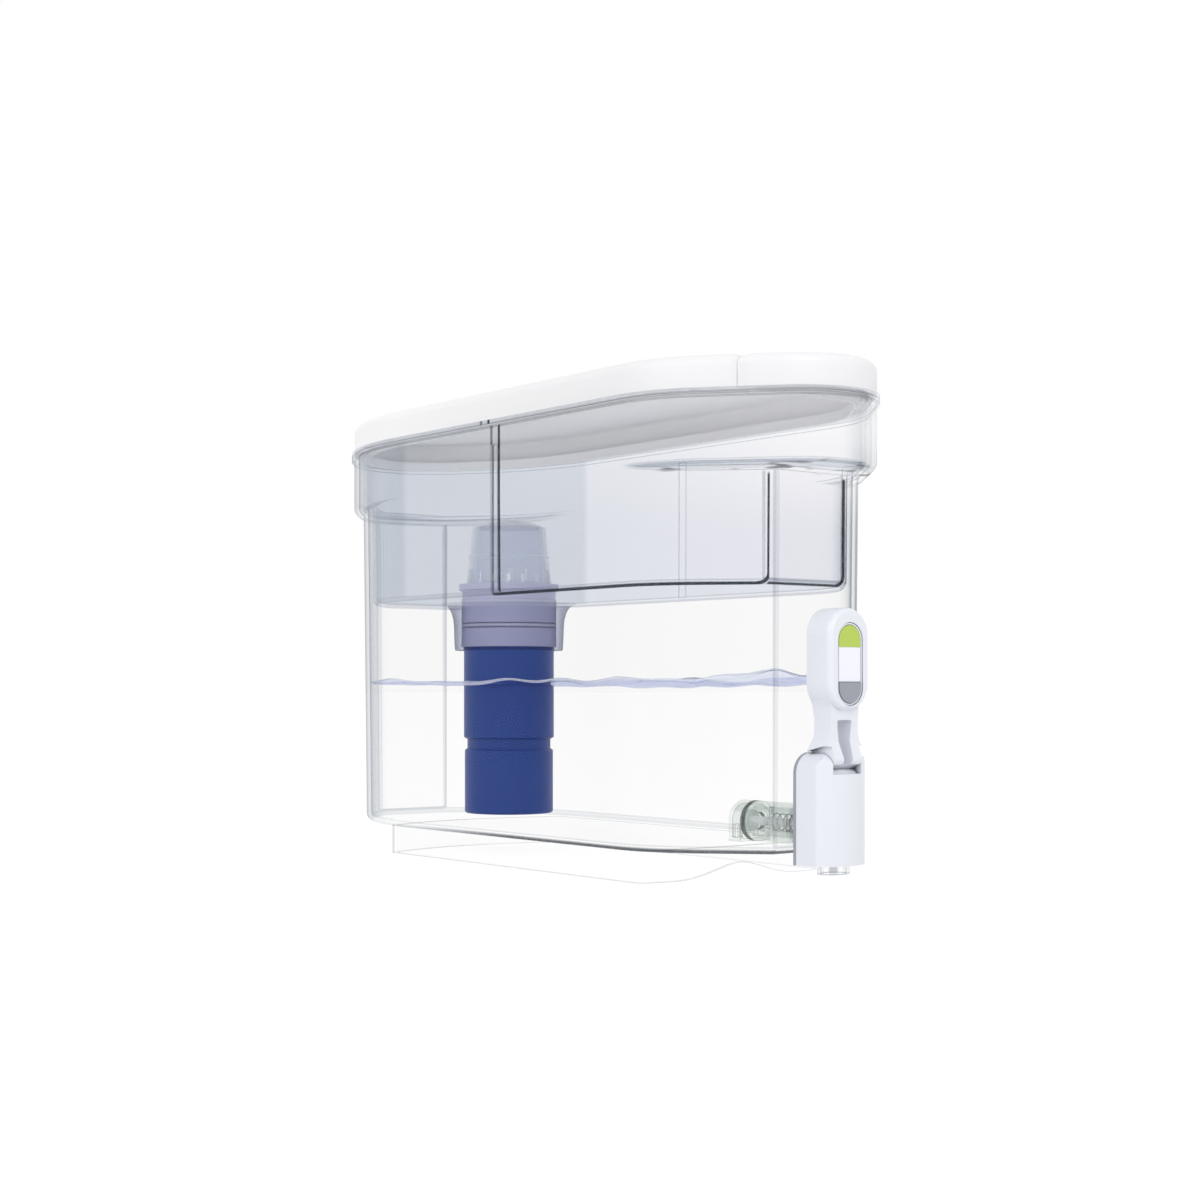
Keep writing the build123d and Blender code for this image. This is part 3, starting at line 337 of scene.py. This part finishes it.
        path = node(tree, "LightPath")
        seen_by = [path["Is Camera Ray"], path["Is Glossy Ray"]]
        looked = node(tree, "Math", seen_by, operation="MAXIMUM")[0]
        sockets = {"Factor": looked, "A": linear(untinted), "B": tint}
        tint = node(tree, "Mix", sockets, data_type="RGBA")["Result"]
        through = node(tree, "BsdfTransparent", {"Color": tint})[0]
        shine = node(tree, "BsdfGlossy", {"Color": (1, 1, 1, 1), "Roughness": gloss})[0]
        rise = node(tree, "Math", [facing, 5.0], operation="POWER")[0]
        share = node(
            tree, "MapRange", {"Value": rise, "To Min": least, "To Max": edge_gloss}
        )["Result"]
        walls = node(tree, "MapRange", [level, 0.995, 0.80], **smooth)[0]
        share = all_of(tree, looked, share, walls)
        return node(tree, "MixShader", [share, through, shine])[0]

    return finish_of(name, build)


def ring_clear(name, flat, round_side):
    """Clear silicone disc: clear through its flat faces, tinted where its round side
    faces outwards on the near side."""
    gloss_share, gloss = 0.03, 0.2

    def build(tree):
        geometry = node(tree, "NewGeometry")
        normal = node(tree, "SeparateXYZ", {"Vector": geometry["Normal"]})
        across = node(tree, "Math", [normal["X"]], operation="ABSOLUTE")[0]
        sideways = node(tree, "Math", [1.0, across], operation="SUBTRACT")[0]
        rim = all_of(
            tree,
            node(tree, "MapRange", [sideways, 0.3, 0.6], **smooth)[0],
            node(tree, "MapRange", [normal["Y"], 0.3, -0.3], **smooth)[0],
            node(tree, "Math", [1.0, geometry["Backfacing"]], operation="SUBTRACT")[0],
        )
        tint = node(
            tree,
            "Mix",
            {"Factor": rim, "A": linear(flat), "B": linear(round_side)},
            data_type="RGBA",
        )["Result"]
        through = node(tree, "BsdfTransparent", {"Color": tint})[0]
        shine = node(tree, "BsdfGlossy", {"Roughness": gloss})[0]
        return node(tree, "MixShader", [gloss_share, through, shine])[0]

    return finish_of(name, build)


def soft_clear(name, colour, clearness, roughness=0.3):
    """Translucent moulded piece: part of the light passes straight through it."""
    edge_clearness = 0.1

    def build(tree):
        body = node(
            tree,
            "BsdfPrincipled",
            {"Base Color": linear(colour), "Roughness": roughness, "IOR": 1.45},
        )[0]
        through = node(tree, "BsdfTransparent", {"Color": linear(colour)})[0]
        facing = node(tree, "LayerWeight", {"Blend": 0.5})["Facing"]
        share = node(
            tree, "MapRange", [facing, 0.4, 1.0, clearness, edge_clearness]
        )["Result"]
        return node(tree, "MixShader", [share, body, through])[0]

    return finish_of(name, build)


def moulded(
    name, colour, roughness=0.35, grain_mm=0.5, bump=0.02, sheen=0.0, ior=1.5,
    gap_shade=None, passing=None,
):
    """Injection-moulded plastic: even colour, a very fine spark-eroded grain and a faint
    unevenness in its gloss.

    The colour given for gaps is a painted shade, laid deep in gaps where ambient occlusion
    finds them, and passing is the share of light let through at the rear and the front.
    """
    patches_per_metre, grain_depth, gap_shade_reach = 18.0, 0.1 * MM, 4 * MM

    def build(tree):
        place = node(tree, "TexCoord")["Object"]
        grain = node(
            tree, "TexNoise", {"Vector": place, "Scale": 1 / (grain_mm * MM), "Detail": 2.0}
        )["Fac"]
        patch = node(
            tree, "TexNoise", {"Vector": place, "Scale": patches_per_metre, "Detail": 1.0}
        )["Fac"]
        rough = node(
            tree,
            "MapRange",
            {"Value": patch, "To Min": roughness - 0.04, "To Max": roughness + 0.04},
        )["Result"]
        dent = node(
            tree, "Bump", {"Height": grain, "Strength": bump, "Distance": grain_depth}
        )["Normal"]
        base = linear(colour)
        # Painted shade: the colour darkens to the gap colour deep in gaps, found by ambient
        # occlusion
        if gap_shade:
            open_share = node(
                tree, "AmbientOcclusion", {"Distance": gap_shade_reach}, samples=8
            )["AO"]
            base = node(
                tree,
                "Mix",
                {
                    "Factor": node(tree, "MapRange", [open_share, 0.15, 0.65], **smooth)[0],
                    "A": linear(gap_shade),
                    "B": base,
                },
                data_type="RGBA",
            )["Result"]
        body = node(
            tree,
            "BsdfPrincipled",
            {
                "Base Color": base,
                "Roughness": rough,
                "Normal": dent,
                "IOR": ior,
                "Sheen Weight": sheen,
            },
        )[0]
        if not passing:
            return body
        ahead = node(tree, "SeparateXYZ", {"Vector": place})["X"]
        share = node(tree, "MapRange", [ahead, tank_rear, tank_front, *passing])[0]
        glow = node(tree, "BsdfTranslucent", {"Color": base})[0]
        return node(tree, "MixShader", [share, body, glow])[0]

    return finish_of(name, build)


def bright_steel(name, colour="#B9BBBD", roughness=0.28):
    """Drawn stainless steel: fine draw marks, about a millimetre apart, in a bright
    metal."""
    marks_per_metre = 900.0

    def build(tree):
        place = node(tree, "TexCoord")["Object"]
        marks = node(
            tree, "TexNoise", {"Vector": place, "Scale": marks_per_metre, "Detail": 3.0}
        )["Fac"]
        rough = node(
            tree,
            "MapRange",
            {"Value": marks, "To Min": roughness - 0.08, "To Max": roughness + 0.1},
        )["Result"]
        return node(
            tree,
            "BsdfPrincipled",
            {"Base Color": linear(colour), "Metallic": 1.0, "Roughness": rough},
        )[0]

    return finish_of(name, build)


# Clear styrene-acrylonitrile of the tank: bright faces and grey edges, like thin glass,
# with painted shade on its sharp edges and roundings and in streaks at its ledge
clear_san = clear_moulding(
    "clear_san_moulding",
    [(0.0, "#FEFEFE"), (0.60, "#FCFCFC"), (0.84, "#E3E5E8"), (1.0, "#8A8F95")],
    line=("#DDDFE1", "#B4B7BB"),
    turned=("#E9EBED", "#6C7074"),
    crease=("#E8EAEC", "#EEEFF1"),
    drawn=ledge_shade_streaks,
    dark_below=25 * MM,
    nose=[(0.0, "#FEFEFE"), (0.60, "#FCFCFC"), (0.84, "#E6E8EA"), (1.0, "#A2A6AA")],
    tail=(
        -100 * MM, -160 * MM,
        (0.0, "#FEFEFE"), (0.60, "#FCFCFC"), (0.84, "#EDEEF0"), (1.0, "#C2C5C9"),
    ),
)
# The same plastic in the thin foot, which is fainter, with painted shade on its sharp edges
# and roundings and a painted shade line at its rear corner
foot_san = clear_moulding(
    "clear_san_foot",
    [(0.0, "#FEFEFE"), (0.70, "#FDFDFD"), (0.90, "#EFF0F1"), (1.0, "#B9BCC0")],
    line=("#E6E7E9", "#D2D4D7"),
    turned=("#F0F1F2", "#E9EAEC"),
    crease=("#F4F5F6", "#F4F5F6"),
    dark_below=0.0,
    drawn=foot_shade_line,
)
# The same plastic in the tap's barrel: small, thick and curved, so glossier and greyer,
# with painted shade on its sharp edges
barrel_san = clear_moulding(
    "barrel_san_moulding",
    [(0.0, "#FBFCFB"), (0.55, "#F9FAF9"), (0.82, "#D7DAD8"), (1.0, "#7C8280")],
    line=("#C4C8C6", "#C4C8C6"),
    turned=("#EEF1EF", "#EAEDEB"),
    crease=("#F2F4F3", "#F2F4F3"),
    dark_below=0.0,
    least=0.05,
)
# Smoke-tinted styrene of the reservoir: a cool grey that deepens at its edges and rear,
# with painted shade on its sharp edges and roundings and painted shade lines at its groove,
# underside and front wall
smoke_san = clear_moulding(
    "smoke_san_moulding",
    [(0.0, "#F8F9FB"), (0.55, "#F8F9FB"), (0.84, "#D8DBE0"), (1.0, "#555A60")],
    line=("#DFE1E4", "#D0D3D8"),
    turned=("#DFE1E6", "#D5D8DD"),
    crease=("#E2E4E8", "#D5D8DD"),
    dark_below=149 * MM,
    gloss=0.08,
    tail=(
        rear_bend_start + 3 * MM, rear_bend_start - 3 * MM,
        (0.0, "#EFF1F4"), (1.0, "#EFF1F4"),
    ),
    nose=[(0.0, "#FAFAFC"), (0.60, "#FAFAFC"), (0.86, "#E4E6EA"), (1.0, "#8A8E96")],
    drawn=basin_shade_lines,
    hanging=(
        well_top,
        (0.0, "#E6E7EF"), (0.45, "#DEE0E9"), (0.75, "#BCBFCC"), (1.0, "#8C90A0"),
    ),
)
# White polypropylene of the lid and the fill door: soft gloss, and light glows through
lid_pp = moulded("white_polypropylene", "#FDFDFE", 0.38, 0.6, 0.02, passing=(0.0, 0.35))
# Cool white ABS of the tap body and the lever: smooth, with painted shade in its gaps
tap_abs = moulded("cool_white_abs", "#E5E7EF", 0.30, 0.4, 0.012, gap_shade="#4C4E54")
# Grey ABS behind the lever and the tap, which shows as a thin dark outline
back_abs = moulded("cool_grey_abs", "#9A9DA6", 0.35, 0.4, 0.012)
# Glossier ABS of the display's ring, with painted shade in the gap around it
bezel_abs = moulded("bezel_abs", "#DFE2EA", 0.25, 0.4, 0.01, gap_shade="#45474D")
# Uncoloured acetal of the valve's stem: milky, and half the light passes
valve_pom = soft_clear("natural_acetal", "#ECEFF0", 0.45)
# Deep blue polypropylene of the filter's body: even and almost matte
filter_pp = moulded("deep_blue_polypropylene", "#1C3C84", 0.40, 0.4, 0.0, ior=1.3)
# Lilac polypropylene of the filter's collar: soft gloss
collar_pp = moulded("lilac_polypropylene", "#B9BBD2", 0.40, 0.6, 0.02)
# Pale blue polypropylene of the filter's thin cap: most of the light passes
cap_pp = soft_clear("pale_blue_polypropylene", "#F3F5F9", 0.86, 0.35)
# Silicone of the seals: dull and faintly rough; clear in the valve's seat and poppet
seal_rubber = moulded("silicone_seal_rubber", "#C4C6D6", 0.6, 0.3, 0.05, ior=1.52)
seat_silicone = ring_clear("seat_silicone", "#FDFEFD", "#7C827F")
poppet_silicone = ring_clear("poppet_silicone", "#FDFEFD", "#E6EAE8")
gasket_rubber = moulded("silicone_gasket_rubber", "#C9CCCE", 0.55, 0.3, 0.04, ior=1.41)
# Drawn stainless steel of the spring, the pins and the screws: a bright metal gloss
steel = bright_steel("drawn_stainless_steel")
# Pressed carbon block of the filter: black, matte and grainy
carbon = moulded("moulded_carbon_block", "#2A2B2E", 0.9, 0.7, 0.4)
# Woven polyester of the inlet screen: dull, with a faint sheen
screen = moulded("woven_polyester_screen", "#D5D8DD", 0.7, 0.3, 0.3, sheen=0.2)
# Polished acrylic of the display: even colour and a clear gloss
green_lens = moulded("green_tinted_acrylic", "#B3CC54", 0.12, 0.5, 0.0, ior=1.49)
pale_window = moulded("pale_acrylic_window", "#F0F1FC", 0.12, 0.5, 0.0, ior=1.49)
# Grey ABS of the reset button: matte
button_abs = moulded("grey_matte_abs", "#989BA4", 0.5, 0.3, 0.04)
# Lacquered board and cast epoxy lens in the pod
board = moulded("solder_mask", "#1F6B3A", 0.35, 0.5, 0.03)
led = moulded("epoxy_led_lens", "#DDE8D0", 0.1, 0.5, 0.0, ior=1.55)

finishes = {
    clear_san: ["tank_shell", "spout_nozzle"],
    foot_san: ["foot_skirt"],
    barrel_san: ["inlet_barrel", "barrel_nut", "inlet_hood"],
    smoke_san: ["reservoir_basin"],
    lid_pp: ["rear_cover", "fill_door"],
    tap_abs: ["tap_housing", "lever_shell"],
    back_abs: ["tap_back_plate", "lever_back_cover"],
    bezel_abs: ["indicator_bezel"],
    valve_pom: ["valve_stem", "button_switch"],
    filter_pp: ["filter_housing"],
    collar_pp: ["filter_collar"],
    cap_pp: ["filter_cap"],
    seal_rubber: ["filter_o_ring"],
    seat_silicone: ["valve_seat_ring"],
    poppet_silicone: ["poppet_seal"],
    gasket_rubber: ["wall_gasket", "inner_gasket"],
    steel: [
        "return_spring", "housing_screws", "pivot_pin", "pod_screws", "coin_cell",
        "battery_clip", "hinge_pins",
    ],
    carbon: ["filter_media"],
    screen: ["inlet_screen"],
    green_lens: ["status_lens"],
    pale_window: ["status_window"],
    button_abs: ["reset_button"],
    board: ["circuit_board"],
    led: ["indicator_led"],
}
for material, names in finishes.items():
    for name in names:
        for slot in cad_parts[name].material_slots:
            slot.material = material


# ---------------------------------------------------------------- water
def tank_reach(angle):
    """Distance from the filter's axis to the tank's inside along each angle.

    The inside is a convex plan: two sides, a front and a rear wall, a straight run and an
    arc at each front corner and an arc at each rear corner. The distance is the greatest
    t at which the ray is still within all of them, found by halving on t.
    """
    clearance, farthest, halvings = 0.3 * MM, 0.5, 40
    lean = math.tan(math.radians(tank_draft))
    inset = tank_wall + (ledge_height - water_level) * lean + clearance
    side = tank_half_width - inset
    run_angle = math.radians(front_run_angle)
    run = np.array([math.sin(run_angle), math.cos(run_angle)])
    front_y = tank_half_width - front_bend_radius
    run_reach = run @ (front_bend_start, front_y) + front_bend_radius - inset
    reach, drop = rear_bend_start - tank_rear, tank_half_width - rear_flat_half
    rear_radius = (reach**2 + drop**2) / (2 * drop)
    rear_y = tank_half_width - rear_radius

    def inside(x, y):
        y = np.abs(y)
        front_arc = np.hypot(x - front_bend_start, y - front_y) < front_bend_radius - inset
        rear_arc = np.hypot(x - rear_bend_start, y - rear_y) < rear_radius - inset
        turn = np.arctan2(x - front_bend_start, np.maximum(y - front_y, 1e-6))
        good = (y < side) & (x < tank_front - inset) & (x > tank_rear + inset)
        good &= x * run[0] + y * run[1] < run_reach
        good &= front_arc | (x < front_bend_start) | (turn > run_angle)
        return good & (rear_arc | (x > rear_bend_start))

    low, high = np.zeros_like(angle), np.full_like(angle, farthest)
    for _ in range(halvings):
        middle = (low + high) / 2
        good = inside(filter_x + middle * np.cos(angle), middle * np.sin(angle))
        low, high = np.where(good, middle, low), np.where(good, high, middle)
    return low


def water_surface(columns=360, rows=70):
    """A closed film with ripples, from the filter's wall to the tank's walls.

    Point (i, j) lies at r = r0 + (R(a) - r0) * (1 - cos(pi * j / rows)) / 2 from the
    filter's axis. With s from 0 at the tank's rear to 1 at its front, its height is
    level + (0.55 + 1.2 s^2) * sum of A * sin(k . p + phase) over four long waves
    + swell * s^6, and climb * exp(-d / reach) more at a distance d from either wall.
    """
    film, gap_to_filter = 0.5 * MM, 0.6 * MM
    swell, climb, climb_reach = 2.2 * MM, 1.5 * MM, 1.8 * MM
    waves = [   # A in millimetres, k in radians per metre along x and y, phase
        (0.90, 40.0, 14.0, 0.4),
        (0.75, -58.0, 90.0, 1.9),
        (0.55, 120.0, -50.0, 3.1),
        (0.30, 150.0, 200.0, 5.0),
    ]
    angle = np.linspace(0, 2 * math.pi, columns, endpoint=False)
    start, end = filter_radius + gap_to_filter, tank_reach(angle)[None, :]
    share = (1 - np.cos(np.linspace(0, math.pi, rows + 1)[:, None])) / 2
    radius = start + (end - start) * share
    x = filter_x + radius * np.cos(angle)
    y = radius * np.sin(angle)
    height = sum(
        amount * MM * np.sin(kx * x + ky * y + phase) for amount, kx, ky, phase in waves
    )
    ahead = (x - tank_rear) / (tank_front - tank_rear)
    height = height * (0.55 + 1.2 * ahead**2) + swell * ahead**6
    for gap in (radius - start, end - radius):
        height = height + climb * np.exp(-gap / climb_reach)
    top = np.stack([x, y, water_level + height], -1)
    bottom = top - (0, 0, film)
    points = np.concatenate([top.reshape(-1, 3), bottom.reshape(-1, 3)])

    count = (rows + 1) * columns
    row, column = np.meshgrid(np.arange(rows), np.arange(columns), indexing="ij")
    here, after = row * columns + column, row * columns + (column + 1) % columns
    quads = np.stack([here, here + columns, after + columns, after], -1).reshape(-1, 4)
    rims = []
    for edge, way in ((0, 1), (rows, -1)):
        here = edge * columns + np.arange(columns)
        there = edge * columns + (np.arange(columns) + 1) % columns
        strip = np.stack([here, there, there + count, here + count], -1)
        rims.append(strip[:, ::way])
    faces = np.concatenate([quads, quads[:, ::-1] + count] + rims)
    mesh = bpy.data.meshes.new("water_surface")
    mesh.from_pydata(points.tolist(), [], faces.tolist())
    mesh.polygons.foreach_set("use_smooth", [True] * len(mesh.polygons))
    piece = bpy.data.objects.new("water_surface", mesh)
    bpy.context.scene.collection.objects.link(piece)
    return piece


def water_film(tree):
    """Clear water: seen almost edge on, its surface is a lavender-grey band."""
    facing = node(tree, "LayerWeight", {"Blend": 0.5})["Facing"]
    tint = node(
        tree,
        "ValToRGB",
        {"Fac": facing},
        stops=[(0.0, "#F8FAFD"), (0.85, "#F2F4FA"), (0.97, "#D9DDEE"), (1.0, "#A3A9CA")],
    )["Color"]
    through = node(tree, "BsdfTransparent", {"Color": tint})[0]
    shine = node(tree, "BsdfGlossy", {"Color": linear("#E9ECF8"), "Roughness": 0.03})[0]
    share = node(
        tree, "MapRange", {"Value": facing, "From Min": 0.5, "To Max": 0.5}
    )["Result"]
    normal = node(tree, "NewGeometry")["Normal"]
    upward = node(tree, "SeparateXYZ", {"Vector": normal})["Z"]
    level = node(tree, "Math", [upward], operation="ABSOLUTE")[0]
    steep = node(tree, "MapRange", [level, 0.95, 0.80], **smooth)[0]
    climbing = all_of(tree, 0.55, steep)
    share = node(tree, "Math", [share, climbing], operation="MAXIMUM")[0]
    return node(tree, "MixShader", [share, through, shine])[0]


water = water_surface()
water.data.materials.append(finish_of("rippled_water", water_film))
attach(water, "tank")


# ---------------------------------------------------------------- stage
def seen_plainly(tree):
    """1 for what the eye sees straight, in a gloss or through glass, and 0 for light."""
    path = node(tree, "LightPath")
    seen = path["Is Camera Ray"]
    for other in ("Is Glossy Ray", "Is Transmission Ray"):
        seen = node(tree, "Math", [seen, path[other]], operation="MAXIMUM")[0]
    return seen


def pale_floor(tree):
    """White floor: it shows a soft shadow, and is as white as the background."""
    paint, glow, glow_share = 0.93, 1.08, 0.86
    lit = node(tree, "BsdfDiffuse", {"Color": (paint, paint, paint, 1)})[0]
    white = node(tree, "Emission", {"Strength": glow})[0]
    share = all_of(tree, glow_share, seen_plainly(tree))
    return node(tree, "MixShader", [share, lit, white])[0]


def white_world(tree):
    """White where it is seen, and a plainer light on the object."""
    light, background = 0.78, 1.0
    strength = node(
        tree,
        "MapRange",
        {"Value": seen_plainly(tree), "To Min": light, "To Max": background},
    )["Result"]
    sky = node(tree, "Background", {"Color": (1, 1, 1, 1), "Strength": strength})[0]
    node(tree, "OutputWorld", {"Surface": sky})


def soft_lamp(name, place, target, size, power):
    """A large square lamp that points at a target."""
    data = bpy.data.lights.new(name, "AREA")
    data.size, data.energy = size, power
    lamp = bpy.data.objects.new(name, data)
    bpy.context.scene.collection.objects.link(lamp)
    lamp.location = place
    way = np.array(target) - np.array(place)
    turn = math.atan2(way[1], way[0])
    drop = math.atan2(-way[2], math.hypot(way[0], way[1]))
    lamp.rotation_euler = (math.pi / 2 - drop, 0, turn - math.pi / 2)


floor_half = 30.0
floor_mesh = bpy.data.meshes.new("floor")
floor_mesh.from_pydata(
    [
        (-floor_half, -floor_half, 0), (floor_half, -floor_half, 0),
        (floor_half, floor_half, 0), (-floor_half, floor_half, 0),
    ],
    [],
    [(0, 1, 2, 3)],
)
floor_mesh.materials.append(finish_of("pale_floor", pale_floor))
floor = bpy.data.objects.new("floor", floor_mesh)
bpy.context.scene.collection.objects.link(floor)

world = bpy.data.worlds.new("studio")
bpy.context.scene.world = world
world.use_nodes = True
world.node_tree.nodes.clear()
white_world(world.node_tree)

lamp_size, lamp_target = 1.2, (0, 0, 0.1)
soft_lamp("key_lamp", (1.7, -0.5, 1.3), lamp_target, lamp_size, 11)
soft_lamp("side_lamp", (0.1, -1.8, 1.2), lamp_target, lamp_size, 6)

# The camera stands level, in front of the tap and to the side of the tank.
eye, look_x, look_y = (0.8407, -0.6498, 0.0950), -0.787, 0.617
camera_data = bpy.data.cameras.new("camera")
camera_data.lens, camera_data.sensor_width = 57.6, 36.0
camera_data.shift_y = 0.0731
camera_data.clip_start, camera_data.clip_end = 0.01, 100
camera = bpy.data.objects.new("camera", camera_data)
bpy.context.scene.collection.objects.link(camera)
camera.location = eye
camera.rotation_euler = (math.pi / 2, 0, math.atan2(-look_x, look_y))
bpy.context.scene.camera = camera
bpy.context.scene.view_settings.view_transform = "Standard"
# The walls of tank, reservoir and cap lie behind one another, and each is two faces.
bpy.context.scene.cycles.transparent_max_bounces = 48
